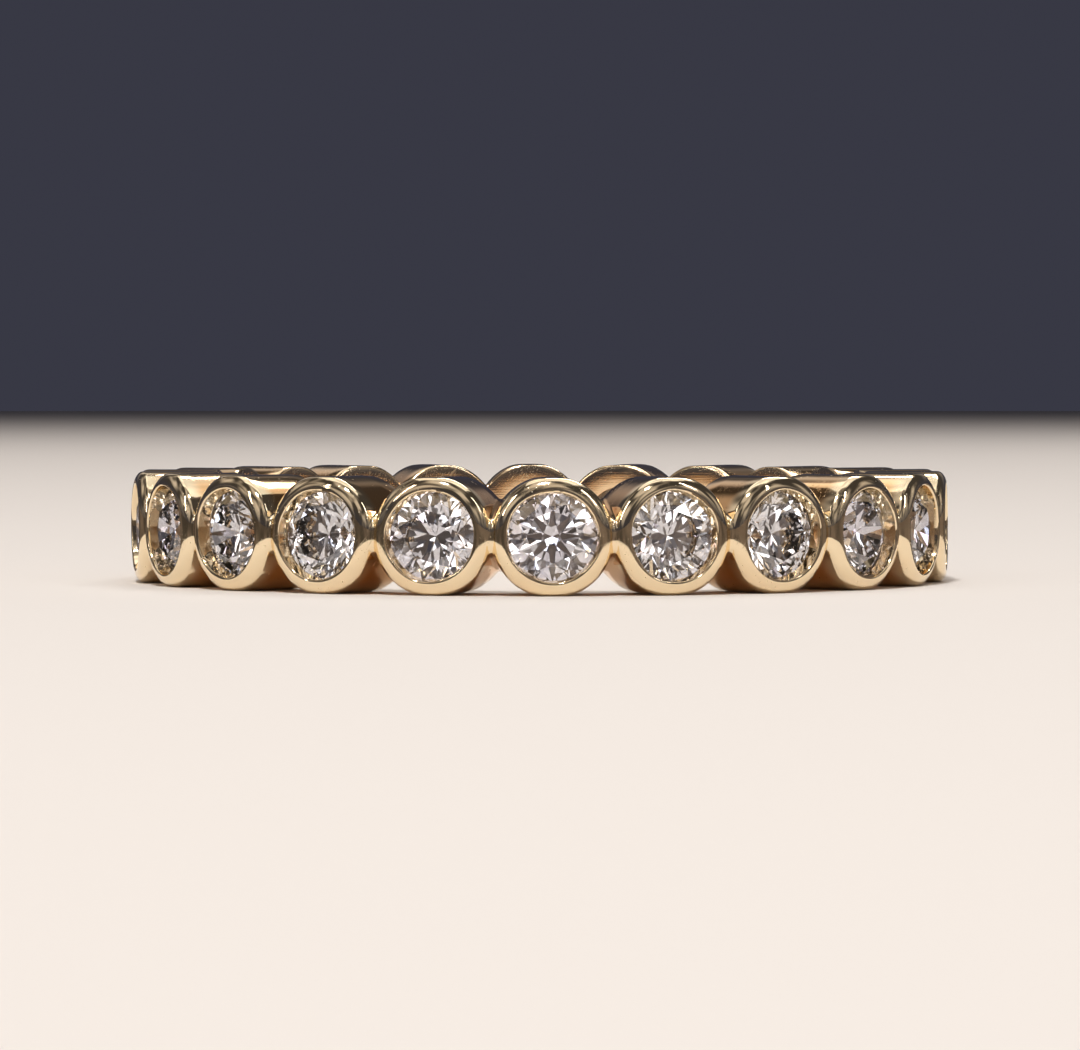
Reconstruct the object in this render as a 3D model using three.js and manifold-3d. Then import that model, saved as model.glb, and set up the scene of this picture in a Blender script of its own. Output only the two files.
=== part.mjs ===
// A stacking ring: a full hoop of round gold bezels soldered side by side, each holding one round
// brilliant-cut stone. Millimetres, +Z up. The ring lies on its side, so the finger hole runs along Z.
// The origin is on the surface under the middle of the hole, and the first bezel faces -Y.
import * as THREE from "three";
import { ConvexGeometry } from "three/addons/geometries/ConvexGeometry.js";
import { mergeVertices } from "three/addons/utils/BufferGeometryUtils.js";
import Module from "manifold-3d";

// The hoop
const fingerDiameter = 17.0; // the hole for the finger
const hoopThickness = 2.1; // from the finger hole out to the crest of a rim
const bandWidth = 2.87; // along the finger, between the two sides that are filed flat for stacking
const leastRimGap = 0.03; // between two neighbouring rims, above their soldered joint

// One stone, as a round brilliant is proportioned: the shares are of its diameter
const stoneDiameter = 2.25;
const tableShare = 0.57;
const crownShare = 0.15;
const girdleShare = 0.03;
const pavilionShare = 0.43;
const starShare = 0.5; // how far a star facet reaches from the table's edge to the girdle
const lowerHalfShare = 0.77; // how far a lower half facet reaches from the girdle to the culet

// One bezel
const rimWidth = 0.365; // the polished face of the rim, from its crest to the outer wall
const rimDrop = 0.26; // how far that face falls away outwards
const rimBulge = 0.05; // how far it swells beyond a straight slope
const crestFlare = 0.035; // how much wider the opening is at the crest than at the lip
const lipOverlap = 0.05; // how far the lip covers the edge of the stone
const rimAboveTable = 0.08; // the crest stands this much proud of the stone's table
const backHoleDiameter = 1.6; // the open back behind a stone
const seatClearance = 0.04; // between a stone and its seat

// Fineness
const bezelSides = 20;
const rimSteps = 3;
const holeSidesPerBezel = 4;
const mains = 8; // main facets of a brilliant, above and below
const leastDetail = 0.0005; // anything smaller is left by the joins, and is smoothed away

const holeRadius = fingerDiameter / 2;
const crestRadius = holeRadius + hoopThickness;
const stoneRadius = stoneDiameter / 2;
const lipRadius = stoneRadius - lipOverlap;
const openingRadius = lipRadius + crestFlare;
const bezelRadius = openingRadius + rimWidth;
const bezelCount = Math.floor(
  Math.PI / Math.asin((2 * bezelRadius + leastRimGap) / (2 * crestRadius)),
);
const bezelStep = (2 * Math.PI) / bezelCount;

// Heights of a stone, measured out from the middle of the finger hole
const tableHeight = crestRadius - rimAboveTable;
const girdleTop = tableHeight - crownShare * stoneDiameter;
const girdleBottom = girdleTop - girdleShare * stoneDiameter;
const culetHeight = girdleBottom - pavilionShare * stoneDiameter;
const tableRadius = tableShare * stoneRadius;

const gold = new THREE.MeshStandardMaterial({ color: 0xd9b778, roughness: 0.12, metalness: 1 });
const diamond = new THREE.MeshStandardMaterial({ color: 0xf1f1f5, roughness: 0.02, metalness: 0 });

const wasm = await Module();
wasm.setup();

// A closed geometry, moved by a matrix, as a solid that can be joined and cut.
function solidOf(geometry, matrix = new THREE.Matrix4()) {
  const bare = geometry.clone().applyMatrix4(matrix);
  bare.deleteAttribute("normal");
  bare.deleteAttribute("uv");
  const merged = mergeVertices(bare, 1e-5);
  return new wasm.Manifold(
    new wasm.Mesh({
      numProp: 3,
      vertProperties: merged.attributes.position.array,
      triVerts: new Uint32Array(merged.index.array),
    }),
  );
}

function geometryOf(solid) {
  const { vertProperties, triVerts } = solid.getMesh();
  const geometry = new THREE.BufferGeometry()
    .setAttribute("position", new THREE.BufferAttribute(vertProperties, 3))
    .setIndex(new THREE.BufferAttribute(triVerts, 1))
    .toNonIndexed();
  geometry.computeVertexNormals();
  return geometry;
}

// A turned shape about Y from points of radius and height, listed from its foot up. Its flat sides
// lie outside the round that they stand for when it is a cutter, and inside it when it is a body.
// One of its sides faces along the band, so that the band is filed across whole sides.
function turned(points, cutter = false) {
  const spread = cutter ? 1 / Math.cos(Math.PI / bezelSides) : 1;
  const profile = points.map((p) => new THREE.Vector2(p.x * spread, p.y));
  return new THREE.LatheGeometry(profile, bezelSides, Math.PI / bezelSides);
}

const at = (radius, height) => new THREE.Vector2(radius, height);

// The outside of a bezel, from inside the finger hole to the crest of its rim.
function bezelBody() {
  const footHeight = holeRadius - hoopThickness / 2;
  const wallTop = at(bezelRadius, crestRadius - rimDrop);
  const crest = at(openingRadius, crestRadius);
  const slope = crest.clone().sub(wallTop);
  const outward = at(slope.y, -slope.x).normalize();
  const shoulder = wallTop.clone().lerp(crest, 0.5).addScaledVector(outward, 2 * rimBulge);
  const rimFace = new THREE.QuadraticBezierCurve(wallTop, shoulder, crest).getPoints(rimSteps);
  return turned([
    at(0, footHeight),
    at(bezelRadius, footHeight),
    ...rimFace,
    at(0, crestRadius),
  ]);
}

// What is cut out of a bezel: the open back, the seat under the girdle, and the opening inside the lip.
function seatCutter() {
  const backHoleRadius = backHoleDiameter / 2;
  const seatRadius = stoneRadius + seatClearance;
  const pavilionSlope = (pavilionShare * stoneDiameter) / stoneRadius;
  const crownSlope = (crownShare * stoneDiameter) / (stoneRadius - tableRadius);
  const seatFoot = girdleBottom - (seatRadius - backHoleRadius) * pavilionSlope;
  const lipHeight = girdleTop + lipOverlap * crownSlope + seatClearance;
  const beyond = hoopThickness / 2;
  return turned(
    [
      at(0, holeRadius - beyond),
      at(backHoleRadius, holeRadius - beyond),
      at(backHoleRadius, seatFoot),
      at(seatRadius, girdleBottom),
      at(seatRadius, girdleTop),
      at(lipRadius, lipHeight),
      at(openingRadius, crestRadius),
      at(openingRadius, crestRadius + beyond),
      at(0, crestRadius + beyond),
    ],
    true,
  );
}

// Turns what points along Y to point out through bezel number i, counted from the front.
function outThrough(i) {
  return new THREE.Matrix4().makeRotationZ(Math.PI + i * bezelStep);
}

// The metal: the bezels joined in a hoop, bored for the finger, seated for the stones and filed
// flat on both sides.
function hoop() {
  const body = bezelBody();
  const cutter = seatCutter();
  const along = new THREE.Matrix4().makeRotationX(Math.PI / 2);
  const holeSides = holeSidesPerBezel * bezelCount;
  const hole = new THREE.CylinderGeometry(holeRadius, holeRadius, 2 * bandWidth, holeSides);
  const across = 3 * crestRadius;
  const betweenSides = new THREE.BoxGeometry(across, across, bandWidth);
  let metal = solidOf(body, outThrough(0));
  for (let i = 1; i < bezelCount; i++) metal = metal.add(solidOf(body, outThrough(i)));
  metal = metal.subtract(solidOf(hole, along));
  for (let i = 0; i < bezelCount; i++) metal = metal.subtract(solidOf(cutter, outThrough(i)));
  metal = metal.intersect(solidOf(betweenSides));
  return geometryOf(metal.asOriginal().simplify(leastDetail));
}

// A round brilliant with its axis along Y and its heights measured from the middle of the finger
// hole: a table, 8 stars, 8 crown mains, 16 upper halves, the girdle, 16 lower halves and 8 pavilion
// mains. Each main facet is flat, so its side corners follow from its line from the girdle inwards.
function brilliant() {
  const half = Math.PI / mains;
  const ringOf = (radius, height, count, turn = 0) =>
    Array.from({ length: count }, (_, k) => {
      const angle = turn + (2 * Math.PI * k) / count;
      return new THREE.Vector3(radius * Math.cos(angle), height, radius * Math.sin(angle));
    });
  const tableEdge = tableRadius * Math.cos(half);
  const starRadius = tableEdge + starShare * (stoneRadius - tableEdge);
  const crownRise = (stoneRadius - starRadius * Math.cos(half)) / (stoneRadius - tableRadius);
  const starHeight = girdleTop + crownRise * (tableHeight - girdleTop);
  const lowerRadius = (1 - lowerHalfShare) * stoneRadius;
  const lowerFall = 1 - (lowerRadius * Math.cos(half)) / stoneRadius;
  const lowerHeight = girdleBottom - lowerFall * (girdleBottom - culetHeight);
  return new ConvexGeometry([
    ...ringOf(tableRadius, tableHeight, mains),
    ...ringOf(starRadius, starHeight, mains, half),
    ...ringOf(stoneRadius, girdleTop, 2 * mains),
    ...ringOf(stoneRadius, girdleBottom, 2 * mains),
    ...ringOf(lowerRadius, lowerHeight, mains, half),
    new THREE.Vector3(0, culetHeight, 0),
  ]);
}

const ring = new THREE.Group();
ring.position.z = bandWidth / 2;

const band = new THREE.Mesh(hoop(), gold);
band.name = "bezel_band";
ring.add(band);

// Stones are set as they come, each turned its own way about its axis.
const turnBetweenStones = Math.PI * (3 - Math.sqrt(5));
const stoneShape = brilliant();
for (let i = 0; i < bezelCount; i++) {
  const setting = new THREE.Group();
  setting.rotation.z = Math.PI + i * bezelStep;
  const stone = new THREE.Mesh(stoneShape, diamond);
  stone.name = `stone_${String(i + 1).padStart(2, "0")}`;
  stone.rotation.y = i * turnBetweenStones;
  setting.add(stone);
  ring.add(setting);
}

const stackingRing = new THREE.Group();
stackingRing.add(ring);
export default stackingRing;
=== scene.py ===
import math
import random

import bmesh
import bpy
from mathutils import Matrix, Vector


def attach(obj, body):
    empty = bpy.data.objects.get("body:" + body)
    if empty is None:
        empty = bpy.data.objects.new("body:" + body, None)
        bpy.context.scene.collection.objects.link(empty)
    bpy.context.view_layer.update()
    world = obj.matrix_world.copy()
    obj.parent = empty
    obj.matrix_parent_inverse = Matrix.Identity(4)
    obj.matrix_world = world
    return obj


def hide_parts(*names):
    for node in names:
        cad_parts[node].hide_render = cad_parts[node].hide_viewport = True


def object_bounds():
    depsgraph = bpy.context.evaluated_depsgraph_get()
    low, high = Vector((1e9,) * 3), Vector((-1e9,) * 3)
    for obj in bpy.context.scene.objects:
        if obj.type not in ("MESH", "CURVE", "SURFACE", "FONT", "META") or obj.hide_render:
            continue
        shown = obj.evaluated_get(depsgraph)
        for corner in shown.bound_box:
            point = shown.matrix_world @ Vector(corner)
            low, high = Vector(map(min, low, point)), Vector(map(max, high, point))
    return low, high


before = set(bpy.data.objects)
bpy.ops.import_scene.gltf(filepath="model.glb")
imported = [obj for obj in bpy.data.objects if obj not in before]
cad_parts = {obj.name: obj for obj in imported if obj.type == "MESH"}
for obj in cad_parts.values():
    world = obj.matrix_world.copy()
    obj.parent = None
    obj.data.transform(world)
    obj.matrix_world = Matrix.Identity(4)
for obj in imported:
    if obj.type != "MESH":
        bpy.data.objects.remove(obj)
cadLow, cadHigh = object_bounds()
print("frame loaded:", len(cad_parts), "nodes")

mm = 0.001
stoneNames = sorted(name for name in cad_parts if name.startswith("stone_"))
bezelStep = 2 * math.pi / len(stoneNames)
bandWidth = (cadHigh.z - cadLow.z) / mm
midHeight = (cadHigh.z + cadLow.z) / 2


# Object and material helpers

def newObject(name, data):
    made = bpy.data.objects.new(name, data)
    bpy.context.scene.collection.objects.link(made)
    return made


def objectFrom(bm, name):
    mesh = bpy.data.meshes.new(name)
    bm.to_mesh(mesh)
    bm.free()
    return newObject(name, mesh)


def newMaterial(name):
    material = bpy.data.materials.new(name)
    material.use_nodes = True
    tree = material.node_tree
    return material, tree, tree.nodes["Principled BSDF"]


def newGroup(name, inputs, outputs):
    tree = bpy.data.node_groups.new(name, "ShaderNodeTree")
    for label, kind, value in inputs:
        socket = tree.interface.new_socket(label, in_out="INPUT", socket_type=kind)
        socket.default_value = value
    for label, kind in outputs:
        tree.interface.new_socket(label, in_out="OUTPUT", socket_type=kind)
    return tree, tree.nodes.new("NodeGroupInput"), tree.nodes.new("NodeGroupOutput")


# Node helpers: what goes in is another node's output, or a number, vector or colour

def feed(tree, socket, value):
    if isinstance(value, bpy.types.NodeSocket):
        tree.links.new(value, socket)
    elif socket.type == "RGBA":
        socket.default_value = (*value, 1)
    else:
        socket.default_value = value


def placeNode(tree):
    return tree.nodes.new("ShaderNodeTexCoord").outputs["Object"]


def heightNode(tree, vector):
    node = tree.nodes.new("ShaderNodeSeparateXYZ")
    feed(tree, node.inputs[0], vector)
    return node.outputs["Z"]


def mathNode(tree, operation, *values, clamp=False):
    node = tree.nodes.new("ShaderNodeMath")
    node.operation = operation
    node.use_clamp = clamp
    for socket, value in zip(node.inputs, values):
        feed(tree, socket, value)
    return node.outputs[0]


def vectorNode(tree, operation, *values):
    node = tree.nodes.new("ShaderNodeVectorMath")
    node.operation = operation
    for socket, value in zip(node.inputs, values):
        feed(tree, socket, value)
    return node.outputs["Value" if operation == "LENGTH" else "Vector"]


def productNode(tree, first, *others):
    for other in others:
        first = mathNode(tree, "MULTIPLY", first, other)
    return first


# Adds up pairs of a mask and its strength
def sumNode(tree, *pairs):
    total = None
    for mask, strength in pairs:
        part = mathNode(tree, "MULTIPLY", mask, strength)
        total = part if total is None else mathNode(tree, "ADD", total, part)
    return total


def noiseNode(tree, vector, scale, detail, roughness):
    node = tree.nodes.new("ShaderNodeTexNoise")
    for label, value in (("Vector", vector), ("Scale", scale), ("Detail", detail), ("Roughness", roughness)):
        feed(tree, node.inputs[label], value)
    return node.outputs["Fac"]


def rampNode(tree, value, low, high, toLow=0.0, toHigh=1.0):
    node = tree.nodes.new("ShaderNodeMapRange")
    node.interpolation_type = "SMOOTHSTEP"
    labels = ("Value", "From Min", "From Max", "To Min", "To Max")
    for label, setting in zip(labels, (value, low, high, toLow, toHigh)):
        feed(tree, node.inputs[label], setting)
    return node.outputs["Result"]


# Patches of a noise (scale, detail, roughness) with a soft edge (where it starts, where it is full)
def patchNode(tree, vector, noise, edge):
    return rampNode(tree, noiseNode(tree, vector, *noise), *edge)


def mixNode(tree, share, a, b):
    node = tree.nodes.new("ShaderNodeMix")
    node.data_type = "RGBA"
    for label, value in (("Factor", share), ("A", a), ("B", b)):
        feed(tree, node.inputs[label], value)
    return node.outputs["Result"]


# Stage

# Lengths in metres, those of the card in millimetres, angles in degrees, power in watts
stage = {
    "floorColour": (0.79, 0.737, 0.695),
    "paintedFloorFalloffColour": (0.045, 0.047, 0.07),
    "paintedFloorFalloffFrom": 0.2,
    "floorRadius": 0.7,
    "floorSides": 128,
    "floorRough": 0.75,
    "skyLow": (0.0395, 0.0405, 0.058),
    "skyDim": (0.05, 0.045, 0.043),
    "skyBright": (0.60, 0.54, 0.50),
    "skyRise": (0.075, 0.52),
    "skyNoise": (2.3, 1, 0.5),
    "skyEdge": (0.45, 0.68),
    "cardRadius": 18,
    "cardHeight": 3.1,
    "cardSides": 64,
    "cardDark": (0.075, 0.067, 0.062),
    "cardPale": (0.25, 0.215, 0.20),
    "cardRough": 0.9,
    "cardNoise": (160, 1, 0.5),
    "cardEdge": (0.36, 0.66),
    "sparkles": 48,
    "sparkleHeights": (0.25, 0.95),  # the lowest and the highest, as shares of the sky's radius
    "sparkleSize": 0.08,
    "sparkleDistance": 0.36,
    "sparklePower": 0.042,
    "sparkleColours": ((1, 1, 1), (1.0, 0.88, 0.78), (0.79, 0.86, 1.0), (1.0, 0.84, 0.90)),
    "cameraAzimuth": -1.7,
    "cameraElevation": 1.6,
    "cameraDistance": 0.138,
    "cameraClip": (0.005, 20),
    "lens": 176,
    "stoneBounces": 24,
    "metalBounces": 8,
}

# name: (azimuth, elevation, distance, width, height, power, colour)
softLights = {
    "keySoftbox": (-16, 64, 0.42, 0.045, 0.03, 1.12, (1.0, 0.98, 0.95)),
    "topPanel": (166, 76, 0.43, 0.46, 0.32, 0.38, (1.0, 0.98, 0.95)),
    "backSoftbox": (160, 50, 0.45, 0.24, 0.05, 0.36, (1.0, 0.98, 0.96)),
    "leftStrip": (-62, 34, 0.40, 0.014, 0.18, 0.11, (1.0, 0.97, 0.94)),
    "rightStrip": (56, 40, 0.40, 0.014, 0.16, 0.09, (0.95, 0.97, 1.0)),
}


# Where something stands that looks at the middle of the ring
def aimedFrom(azimuth, elevation, distance):
    a = math.radians(azimuth)
    e = math.radians(elevation)
    back = Vector((math.sin(a) * math.cos(e), -math.cos(a) * math.cos(e), math.sin(e)))
    place = Matrix.Translation(Vector((0, 0, midHeight)) + distance * back)
    return place @ back.to_track_quat("Z", "Y").to_matrix().to_4x4()


def makeCamera():
    data = bpy.data.cameras.new("camera")
    data.lens = stage["lens"]
    data.clip_start, data.clip_end = stage["cameraClip"]
    camera = newObject("camera", data)
    camera.matrix_world = aimedFrom(
        stage["cameraAzimuth"], stage["cameraElevation"], stage["cameraDistance"]
    )
    bpy.context.scene.camera = camera


def makeLight(name, shape, azimuth, elevation, distance, width, height, power, colour):
    data = bpy.data.lights.new(name, "AREA")
    data.shape = shape
    data.size = width
    data.size_y = height
    data.energy = power
    data.color = colour
    light = newObject(name, data)
    light.visible_camera = False
    light.matrix_world = aimedFrom(azimuth, elevation, distance)
    return light


def makeSoftLights():
    for name, setting in softLights.items():
        makeLight(name, "RECTANGLE", *setting)


# Small round lights spread over the sky, which only the stones see and return as sparkles
def makeSparkles():
    count = stage["sparkles"]
    size = stage["sparkleSize"]
    lowest, highest = stage["sparkleHeights"]
    colours = stage["sparkleColours"]
    goldenTurn = 180 * (3 - math.sqrt(5))
    for k in range(count):
        height = lowest + (highest - lowest) * (k + 0.5) / count
        elevation = math.degrees(math.asin(height))
        light = makeLight(
            f"sparkle{k + 1}", "DISK", k * goldenTurn, elevation, stage["sparkleDistance"],
            size, size, stage["sparklePower"], colours[k % len(colours)],
        )
        light.visible_diffuse = False
        light.visible_glossy = False


# Dark near the floor, as the backdrop is, and broken into dim and brighter patches higher up, as a
# room is
def makeWorld():
    world = bpy.data.worlds.new("studio")
    bpy.context.scene.world = world
    world.use_nodes = True
    tree = world.node_tree
    place = tree.nodes.new("ShaderNodeTexCoord").outputs["Generated"]
    patches = patchNode(tree, place, stage["skyNoise"], stage["skyEdge"])
    above = mixNode(tree, patches, stage["skyDim"], stage["skyBright"])
    rise = rampNode(tree, heightNode(tree, place), *stage["skyRise"])
    sky = mixNode(tree, rise, stage["skyLow"], above)
    feed(tree, tree.nodes["Background"].inputs["Color"], sky)


# Pale near the ring, and fading far behind it to the colour of the backdrop: a painted pool of light on the
# floor
def makeFloor():
    bm = bmesh.new()
    bmesh.ops.create_circle(bm, cap_ends=True, segments=stage["floorSides"], radius=stage["floorRadius"])
    floor = objectFrom(bm, "floor")
    material, tree, shader = newMaterial("paleFloor")
    shader.inputs["Roughness"].default_value = stage["floorRough"]
    away = vectorNode(tree, "LENGTH", placeNode(tree))
    # painted pool of light: the floor's colour darkens with distance from the ring
    far = rampNode(tree, away, stage["paintedFloorFalloffFrom"], stage["floorRadius"])
    colour = mixNode(tree, far, stage["floorColour"], stage["paintedFloorFalloffColour"])
    feed(tree, shader.inputs["Base Color"], colour)
    floor.data.materials.append(material)


# A low dark card all round, which is only seen in the metal and the stones: it gives them something
# dark to return, as a dark room would
def makeDarkCard():
    bm = bmesh.new()
    bmesh.ops.create_circle(bm, segments=stage["cardSides"], radius=stage["cardRadius"] * mm)
    wall = bmesh.ops.extrude_edge_only(bm, edges=bm.edges[:])
    top = [v for v in wall["geom"] if isinstance(v, bmesh.types.BMVert)]
    bmesh.ops.translate(bm, verts=top, vec=(0, 0, stage["cardHeight"] * mm))
    card = objectFrom(bm, "darkCard")
    material, tree, shader = newMaterial("darkCard")
    shader.inputs["Roughness"].default_value = stage["cardRough"]
    patches = patchNode(tree, placeNode(tree), stage["cardNoise"], stage["cardEdge"])
    colour = mixNode(tree, patches, stage["cardDark"], stage["cardPale"])
    feed(tree, shader.inputs["Base Color"], colour)
    card.data.materials.append(material)
    card.visible_camera = False
    card.visible_diffuse = False
    card.visible_shadow = False


makeCamera()
makeSoftLights()
makeSparkles()
makeWorld()
makeFloor()
makeDarkCard()
print("stage made")


# Polish marks

# Noises and edges as patchNode takes them, scales per metre
polishing = {
    "hairTurns": ((0.5, 0.9, 0.3), (1.9, 0.4, 1.2), (0.7, 2.3, 2.0)),
    "hairStretch": (0.04, 1, 1),
    "hairNoise": (24000, 3, 0.5),
    "hairEdge": (0.63, 0.70),
    "gatherNoise": (900, 2, 0.5),
    "gatherEdge": (0.45, 0.62),
    "speckScale": 12000,
    "speckKept": (0.84, 0.88),
    "speckLeast": 0.10,
    "speckSpread": 0.16,
    "dustNoise": (700, 2, 0.5),
    "dustEdge": (0.40, 0.60),
    "smudgeNoise": (650, 4, 0.6),
    "smudgeEdge": (0.42, 0.68),
    "waveNoise": (1300, 1, 0.5),
}


# Hair scratches in three directions, gathered here and there
def scratchMarks(tree, vector):
    p = polishing
    hairs = None
    for turn in p["hairTurns"]:
        aim = tree.nodes.new("ShaderNodeVectorRotate")
        aim.rotation_type = "EULER_XYZ"
        feed(tree, aim.inputs["Rotation"], turn)
        feed(tree, aim.inputs["Vector"], vector)
        drawn = vectorNode(tree, "MULTIPLY", aim.outputs["Vector"], p["hairStretch"])
        hair = patchNode(tree, drawn, p["hairNoise"], p["hairEdge"])
        hairs = hair if hairs is None else mathNode(tree, "MAXIMUM", hairs, hair)
    return productNode(tree, hairs, patchNode(tree, vector, p["gatherNoise"], p["gatherEdge"]))


# Specks of dust of several sizes, a few of all the dots and only where it is dusty
def speckMarks(tree, vector):
    p = polishing
    dots = tree.nodes.new("ShaderNodeTexVoronoi")
    feed(tree, dots.inputs["Scale"], p["speckScale"])
    feed(tree, dots.inputs["Vector"], vector)
    shade = tree.nodes.new("ShaderNodeSeparateColor")
    feed(tree, shade.inputs["Color"], dots.outputs["Color"])
    kept = rampNode(tree, shade.outputs["Red"], *p["speckKept"])
    size = mathNode(tree, "MULTIPLY_ADD", shade.outputs["Green"], p["speckSpread"], p["speckLeast"])
    dot = mathNode(tree, "LESS_THAN", dots.outputs["Distance"], size)
    return productNode(tree, dot, kept, patchNode(tree, vector, p["dustNoise"], p["dustEdge"]))


# The marks that polishing and wear leave, with broad smudges and a soft waviness
def makePolishMarks():
    p = polishing
    labels = ("Scratches", "Specks", "Smudges", "Waves")
    tree, ins, outs = newGroup(
        "polishMarks",
        [("Vector", "NodeSocketVector", (0, 0, 0))],
        [(label, "NodeSocketFloat") for label in labels],
    )
    vector = ins.outputs["Vector"]
    feed(tree, outs.inputs["Scratches"], scratchMarks(tree, vector))
    feed(tree, outs.inputs["Specks"], speckMarks(tree, vector))
    feed(tree, outs.inputs["Smudges"], patchNode(tree, vector, p["smudgeNoise"], p["smudgeEdge"]))
    feed(tree, outs.inputs["Waves"], noiseNode(tree, vector, *p["waveNoise"]))
    return tree


polishMarks = makePolishMarks()


def marksNode(tree, place):
    node = tree.nodes.new("ShaderNodeGroup")
    node.node_tree = polishMarks
    feed(tree, node.inputs["Vector"], place)
    return node.outputs


# Bezel band

# Lengths in millimetres, heights measured out from the middle of the finger hole, angles in degrees
band = {
    "holeRadius": 8.5,
    "bezelRadius": 1.475,
    "crestHeight": 10.6,
    "crestRadius": 1.145,
    "crestLand": 0.018,
    "wallTop": 10.345,
    "wallSplits": (0.3, 0.55, 0.8),
    "openingRadius": 1.105,
    "openingDrop": 0.045,
    "lipRadius": 1.06,
    "lipHeight": 10.26,
    "seatRadius": 1.165,
    "seatTop": 10.2,
    "seatBottom": 10.11,
    "backRadius": 0.8,
    "backTop": 9.8,
    "backRound": 0.05,
    "footRound": 0.10,
    "footDepth": 0.15,
    "rimFullness": 1.6,  # 1 is a straight slope and 2 an arc
    "solderHalfWidth": 0.08,
    "solderSagAtHole": 0.04,
    "solderSagAtRim": 0.12,
    "solderDip": 0.03,
    "flatStart": 1.37,
    "sides": 80,
    "domeSteps": 14,
    "edgeSteps": 3,
    "solderSteps": 3,
    "sharpAngle": 38,
    "weld": 1e-5,
    # small unevenness of work done by hand
    "setOff": 0.010,
    "setTilt": 0.5,
    "lipWobble": 0.018,
    "lipLobes": (2, 5),
    "lipFineShare": 0.6,
    "lipStart": 0.03,
    "seed": 7,
    # the gold's colour, and the painted warm reflection and painted shade between the bezels, where gold
    # faces gold
    "colour": (0.97, 0.81, 0.555),
    "paintedRecessAndSmudgeColour": (0.87, 0.50, 0.22),
    # painted shade: the darker colour of the metal under the stones
    "paintedShadeInsideColour": (0.64, 0.51, 0.36),
    "paintedRecessShare": 0.85,
    "paintedRecessHeights": (10.34, 9.95),
    "paintedRecessFromMiddle": (1.43, 1.05),
    "paintedRecessAtSides": 0.3,
    "paintedRecessBore": (8.5, 8.9),
    "paintedRecessAtBore": 0.45,
    "smudgeTint": 0.10,
    # where the metal under a stone starts to be dull and to carry painted shade, and where it is fully so,
    # counted out from the seat's edge, the finger hole and the seat's top
    "insideEdge": (0.08, 0.04),
    "insideFoot": (0.05, 0.35),
    "insideTop": (0.05, 0),
    # roughness
    "polish": 0.05,
    "smudgeRough": 0.05,
    "scratchRough": 0.20,
    "speckRough": 0.45,
    "insideRough": 0.35,
    "boreRough": 0.09,
    # relief, as multiples of bumpHeight
    "bumpHeight": 0.002,
    "waveBump": 3.0,
    "scratchBump": -0.30,
    "speckBump": 0.3,
    "lineBump": 0.8,
    "boreBump": 1.6,
    # polishing lines and the grain of the finger hole
    "lineStretch": (160, 160, 160),
    "lineFineness": 22,
    "lineNoise": (1, 3, 0.6),
    "boreStretch": (500, 500, 26000),
    "boreWorn": (0.06, 0.02),
}


def arc(centre, width, height, start, end, steps):
    angles = [math.radians(start + (end - start) * k / steps) for k in range(steps + 1)]
    return [(centre[0] + width * math.cos(t), centre[1] + height * math.sin(t)) for t in angles]


# The face of the rim from the wall up to the crest, fuller than a straight slope but flatter than an arc
def rimFace():
    b = band
    foot = b["crestRadius"] + b["crestLand"]
    width = b["bezelRadius"] - foot
    rise = b["crestHeight"] - b["wallTop"]
    points = []
    for k in range(b["domeSteps"] + 1):
        turn = math.pi / 2 * k / b["domeSteps"]
        out = math.cos(turn) ** (2 / b["rimFullness"])
        up = math.sin(turn) ** (2 / b["rimFullness"])
        points.append((foot + width * out, b["wallTop"] + rise * up))
    return points


# The cut through one side of a bezel, as radius and height, round from the edge of its open back
def bezelProfile():
    b = band
    foot = b["holeRadius"]
    backRound = b["backRound"]
    footRound = b["footRound"]
    backEdge = (b["backRadius"] + backRound, foot + backRound)
    footEdge = (b["bezelRadius"] - footRound, foot + footRound)
    lipEdge = (b["crestRadius"], b["crestHeight"] - b["openingDrop"])
    lipWidth = b["crestRadius"] - b["openingRadius"]
    return [
        *arc(backEdge, backRound, backRound, 180, 270, b["edgeSteps"]),
        ((b["backRadius"] + b["bezelRadius"]) / 2, foot),
        *arc(footEdge, footRound, footRound, 270, 360, b["edgeSteps"]),
        *((b["bezelRadius"], foot + (b["wallTop"] - foot) * share) for share in b["wallSplits"]),
        *rimFace(),
        *arc(lipEdge, lipWidth, b["openingDrop"], 90, 180, b["edgeSteps"]),
        (b["lipRadius"], b["lipHeight"]),
        (b["seatRadius"], b["seatTop"]),
        (b["seatRadius"], b["seatBottom"]),
        (b["backRadius"], b["backTop"]),
        (b["backRadius"], (foot + b["backTop"]) / 2),
    ]


# One bezel about Z, its foot shaped to the finger hole and its two sides cut back for the solder,
# then turned to face -Y
def bezelShape():
    b = band
    bm = bmesh.new()
    verts = [bm.verts.new((radius, 0, height)) for radius, height in bezelProfile()]
    edges = [bm.edges.new(pair) for pair in zip(verts, verts[1:] + verts[:1])]
    bmesh.ops.spin(
        bm, geom=verts + edges, cent=(0, 0, 0), axis=(0, 0, 1), angle=2 * math.pi,
        steps=b["sides"], use_merge=True,
    )
    bmesh.ops.remove_doubles(bm, verts=bm.verts, dist=b["weld"])
    for v in bm.verts:
        if v.co.z < b["holeRadius"] + b["footDepth"]:
            v.co.z += math.sqrt(b["holeRadius"] ** 2 - v.co.x ** 2) - b["holeRadius"]
    half = bezelStep / 2
    for side in (1, -1):
        away = Vector((side * math.cos(half), 0, -math.sin(half)))
        bmesh.ops.bisect_plane(
            bm, geom=bm.verts[:] + bm.edges[:] + bm.faces[:], dist=b["weld"],
            plane_co=-b["solderHalfWidth"] * away, plane_no=away, clear_outer=True,
        )
    fromAxis = bm.verts.layers.float.new("fromBezelAxis")
    for v in bm.verts:
        v[fromAxis] = math.hypot(v.co.x, v.co.y)
    bmesh.ops.rotate(bm, verts=bm.verts, cent=(0, 0, 0), matrix=Matrix.Rotation(math.pi / 2, 3, "X"))
    mesh = bpy.data.meshes.new("bezelShape")
    bm.to_mesh(mesh)
    bm.free()
    return mesh


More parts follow.
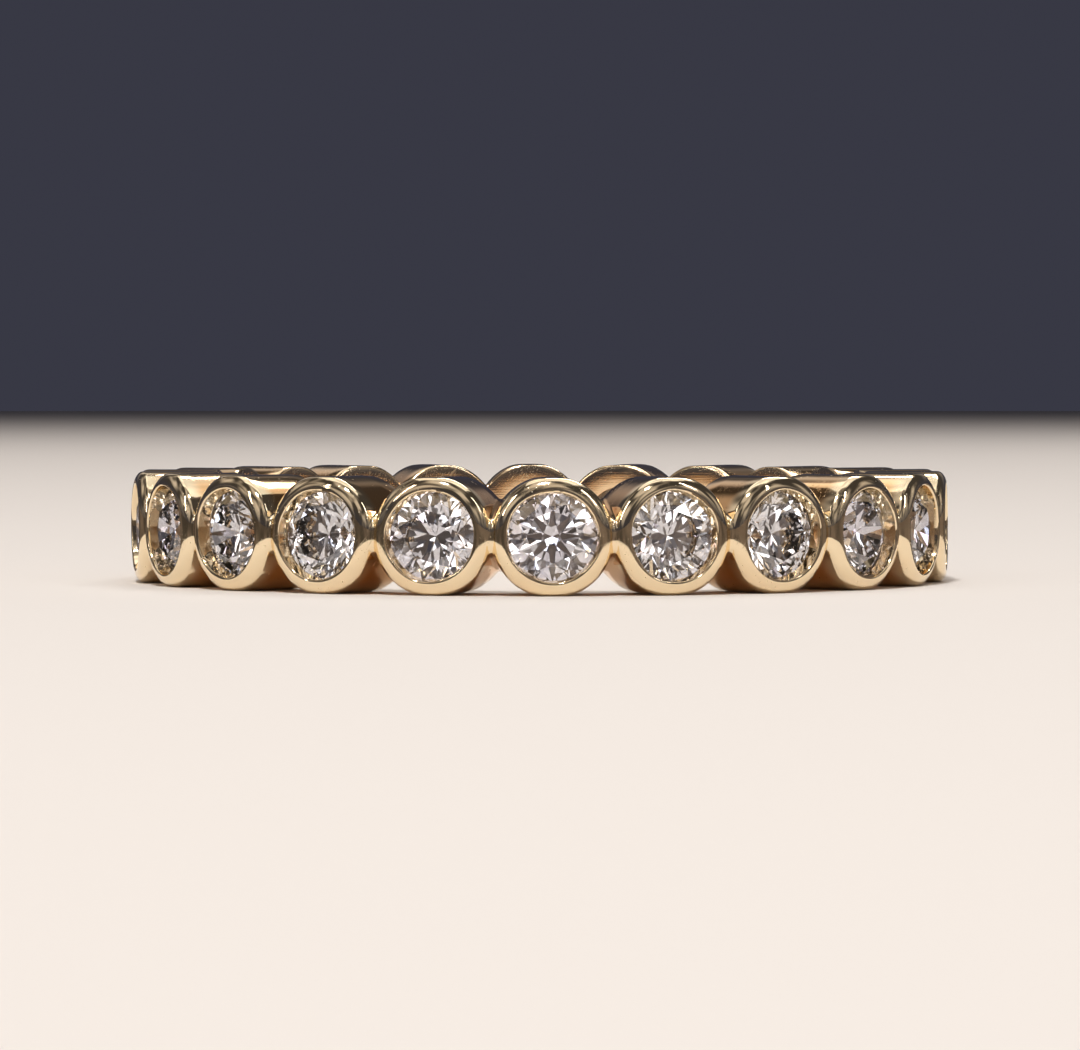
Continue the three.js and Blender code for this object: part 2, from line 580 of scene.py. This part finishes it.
# The lip is pushed over a stone by hand, and so isn't quite round
def wobbleLip(verts, phase):
    b = band
    broad, fine = b["lipLobes"]
    for v in verts:
        away = math.hypot(v.co.x, v.co.z)
        if away < b["crestRadius"] and -v.co.y > b["seatTop"] + b["lipStart"]:
            angle = math.atan2(v.co.z, v.co.x)
            push = math.sin(broad * angle + phase)
            push += b["lipFineShare"] * math.sin(fine * angle - 2 * phase)
            v.co.x *= 1 + b["lipWobble"] * push / away
            v.co.z *= 1 + b["lipWobble"] * push / away


# The bezels round the finger, each set by hand and so a hair off true
def placeBezels(bm, shape):
    b = band
    draw = random.Random(b["seed"])
    for k in range(len(stoneNames)):
        before = len(bm.verts)
        bm.from_mesh(shape)
        bm.verts.ensure_lookup_table()
        verts = bm.verts[before:]
        wobbleLip(verts, draw.uniform(0, 2 * math.pi))
        rim = Vector((0, -b["crestHeight"], 0))
        tilt = Matrix.Rotation(math.radians(draw.uniform(-1, 1) * b["setTilt"]), 3, "X")
        swing = Matrix.Rotation(math.radians(draw.uniform(-1, 1) * b["setTilt"]), 3, "Z")
        bmesh.ops.rotate(bm, verts=verts, cent=rim, matrix=tilt @ swing)
        off = Vector((0, 0, draw.uniform(-1, 1) * b["setOff"]))
        bmesh.ops.translate(bm, verts=verts, vec=off)
        bmesh.ops.rotate(bm, verts=verts, cent=(0, 0, 0), matrix=Matrix.Rotation(k * bezelStep, 3, "Z"))


# Fills each gap between two bezels with solder that sinks a little between them
def solderBezels(bm):
    b = band
    openEdges = {}
    for e in bm.edges:
        if len(e.link_faces) == 1:
            middle = (e.verts[0].co + e.verts[1].co) / 2
            turn = math.atan2(middle.x, -middle.y) / bezelStep
            openEdges.setdefault(math.floor(turn) % len(stoneNames), []).append(e)
    for joint, edges in openEdges.items():
        made = bmesh.ops.bridge_loops(bm, edges=edges)
        across = [e for e in made["edges"] if e not in edges]
        cut = bmesh.ops.subdivide_edges(bm, edges=across, cuts=b["solderSteps"], use_grid_fill=True)
        angle = (joint + 0.5) * bezelStep
        plane = Vector((math.cos(angle), math.sin(angle), 0))
        outward = Vector((math.sin(angle), -math.cos(angle), 0))
        inner = {v for v in cut["geom_inner"] if isinstance(v, bmesh.types.BMVert)}
        for v in inner:
            share = max(0.0, 1 - (v.co.dot(plane) / b["solderHalfWidth"]) ** 2)
            out = (v.co.dot(outward) - b["holeRadius"]) / (b["crestHeight"] - b["holeRadius"])
            out = min(max(out, 0.0), 1.0)
            sag = b["solderSagAtHole"] + (b["solderSagAtRim"] - b["solderSagAtHole"]) * out
            v.co.z *= 1 - sag * share
            v.co -= outward * b["solderDip"] * share * out


# Presses what stands beyond the two filed sides back to them, so that they end in a soft polished edge
def fileSides(bm):
    start = band["flatStart"]
    spread = max(abs(v.co.z) for v in bm.verts) - start
    room = bandWidth / 2 - start
    for v in bm.verts:
        beyond = abs(v.co.z) - start
        if beyond > 0:
            kept = room * (1 - (1 - beyond / spread) ** (spread / room))
            v.co.z = math.copysign(start + kept, v.co.z)


# Turns the faces outwards, keeps the sharp edges sharp, and brings the piece to its size and place
def finishPiece(bm, name):
    bmesh.ops.recalc_face_normals(bm, faces=bm.faces)
    if bm.calc_volume(signed=True) < 0:
        bmesh.ops.reverse_faces(bm, faces=bm.faces)
    limit = math.radians(band["sharpAngle"])
    for face in bm.faces:
        face.smooth = True
    for edge in bm.edges:
        edge.smooth = edge.calc_face_angle(0) < limit
    bmesh.ops.scale(bm, verts=bm.verts, vec=(mm, mm, mm))
    bmesh.ops.translate(bm, verts=bm.verts, vec=(0, 0, midHeight))
    return objectFrom(bm, name)


def fromAxisNode(tree):
    node = tree.nodes.new("ShaderNodeAttribute")
    node.attribute_name = "fromBezelAxis"
    return node.outputs["Fac"]


# A ramp between two lengths in millimetres, both counted from a first one
def lengthRamp(tree, value, first, lengths, toLow=0.0):
    low, high = lengths
    return rampNode(tree, value, (first + low) * mm, (first + high) * mm, toLow)


# Fine lines that the polishing wheel leaves round each bezel's own axis
def polishLines(tree, place):
    along = vectorNode(tree, "MULTIPLY", place, band["lineStretch"])
    across = tree.nodes.new("ShaderNodeCombineXYZ")
    feed(tree, across.inputs["X"], mathNode(tree, "MULTIPLY", fromAxisNode(tree), band["lineFineness"]))
    drawn = vectorNode(tree, "ADD", along, across.outputs["Vector"])
    return noiseNode(tree, drawn, *band["lineNoise"])


# Fine lines round the finger, from buffing the hole and from wear
def boreGrain(tree, place):
    return noiseNode(tree, vectorNode(tree, "MULTIPLY", place, band["boreStretch"]), *band["lineNoise"])


# Under the stones, where no polishing wheel reaches: the metal stays dull, and its colour is darkened with
# painted shade
def dullAndShadedInside(tree, reach):
    b = band
    edge = [b["seatRadius"] + beyond for beyond in b["insideEdge"]]
    within = rampNode(tree, fromAxisNode(tree), *edge)
    above = lengthRamp(tree, reach, b["holeRadius"], b["insideFoot"])
    below = lengthRamp(tree, reach, b["seatTop"], b["insideTop"])
    return productNode(tree, above, below, within)


# Between the bezels, where gold mirrors gold: a painted warmer reflection and painted shade, strongest deep
# in and at mid-height, weaker at the sides and by the finger hole
def paintedRecessReflection(tree, place, reach):
    b = band
    fromMiddle = mathNode(tree, "ABSOLUTE", mathNode(tree, "SUBTRACT", heightNode(tree, place), midHeight))
    deep = lengthRamp(tree, reach, 0, b["paintedRecessHeights"])
    between = lengthRamp(tree, fromMiddle, 0, b["paintedRecessFromMiddle"], b["paintedRecessAtSides"])
    outside = lengthRamp(tree, reach, 0, b["paintedRecessBore"], b["paintedRecessAtBore"])
    return productNode(tree, deep, between, b["paintedRecessShare"], outside)


def makeGold():
    b = band
    material, tree, shader = newMaterial("polishedGold")
    shader.inputs["Metallic"].default_value = 1.0
    place = placeNode(tree)
    marks = marksNode(tree, place)
    reach = vectorNode(tree, "LENGTH", vectorNode(tree, "MULTIPLY", place, (1, 1, 0)))
    inside = dullAndShadedInside(tree, reach)
    worn = lengthRamp(tree, reach, b["holeRadius"], b["boreWorn"])

    # Painted warm reflection and painted shade between the bezels, with a slight tint where the smudges lie
    tint = mathNode(tree, "MULTIPLY", marks["Smudges"], b["smudgeTint"])
    paintedRecessAndSmudgeTint = mathNode(tree, "ADD", paintedRecessReflection(tree, place, reach), tint, clamp=True)
    colour = mixNode(tree, paintedRecessAndSmudgeTint, b["colour"], b["paintedRecessAndSmudgeColour"])
    # The metal under the stones takes the darker painted-shade colour
    feed(tree, shader.inputs["Base Color"], mixNode(tree, inside, colour, b["paintedShadeInsideColour"]))

    rough = sumNode(
        tree,
        (marks["Smudges"], b["smudgeRough"]),
        (marks["Scratches"], b["scratchRough"]),
        (marks["Specks"], b["speckRough"]),
        (inside, b["insideRough"]),
        (worn, b["boreRough"]),
    )
    feed(tree, shader.inputs["Roughness"], mathNode(tree, "ADD", rough, b["polish"]))

    height = sumNode(
        tree,
        (marks["Waves"], b["waveBump"]),
        (marks["Scratches"], b["scratchBump"]),
        (marks["Specks"], b["speckBump"]),
        (polishLines(tree, place), b["lineBump"]),
        (worn, mathNode(tree, "MULTIPLY", boreGrain(tree, place), b["boreBump"])),
    )
    bump = tree.nodes.new("ShaderNodeBump")
    feed(tree, bump.inputs["Strength"], 1.0)
    feed(tree, bump.inputs["Distance"], b["bumpHeight"] * mm)
    feed(tree, bump.inputs["Height"], height)
    feed(tree, shader.inputs["Normal"], bump.outputs["Normal"])
    return material


def makeBand():
    shape = bezelShape()
    bm = bmesh.new()
    placeBezels(bm, shape)
    solderBezels(bm)
    bmesh.ops.remove_doubles(bm, verts=bm.verts, dist=band["weld"])
    fileSides(bm)
    piece = finishPiece(bm, "bezel_band_polished")
    bpy.data.meshes.remove(shape)
    piece.data.materials.append(makeGold())
    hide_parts("bezel_band")
    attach(piece, "root")
    return piece


bandPiece = makeBand()
print("band made:", len(bandPiece.data.polygons), "faces")


# Stones

stones = {
    "colour": (0.96, 0.965, 1.0),
    # painted fire: a bluish tint where the smudges lie
    "paintedFireColour": (0.88, 0.88, 1.0),
    "ior": 2.42,
    "smudgeRough": 0.02,
}


def makeDiamond():
    material, tree, shader = newMaterial("brilliantStone")
    shader.inputs["Transmission Weight"].default_value = 1.0
    shader.inputs["IOR"].default_value = stones["ior"]
    smudgesAndPaintedFire = marksNode(tree, placeNode(tree))["Smudges"]
    # Where the smudges lie, the stones turn bluish: painted fire, the coloured light a diamond throws; the
    # smudges also roughen the surface
    feed(tree, shader.inputs["Base Color"], mixNode(tree, smudgesAndPaintedFire, stones["colour"], stones["paintedFireColour"]))
    feed(tree, shader.inputs["Roughness"], mathNode(tree, "MULTIPLY", smudgesAndPaintedFire, stones["smudgeRough"]))
    return material


# The stones are the frame's own nodes, and only get their material here
def setStones():
    diamond = makeDiamond()
    for stoneName in stoneNames:
        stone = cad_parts[stoneName]
        stone.data.materials.clear()
        stone.data.materials.append(diamond)


setStones()
print("stones set:", len(stoneNames))


scene = bpy.context.scene
scene.view_settings.view_transform = "Standard"
scene.cycles.use_denoising = True
scene.cycles.max_bounces = stage["stoneBounces"]
scene.cycles.transmission_bounces = stage["stoneBounces"]
scene.cycles.glossy_bounces = stage["metalBounces"]
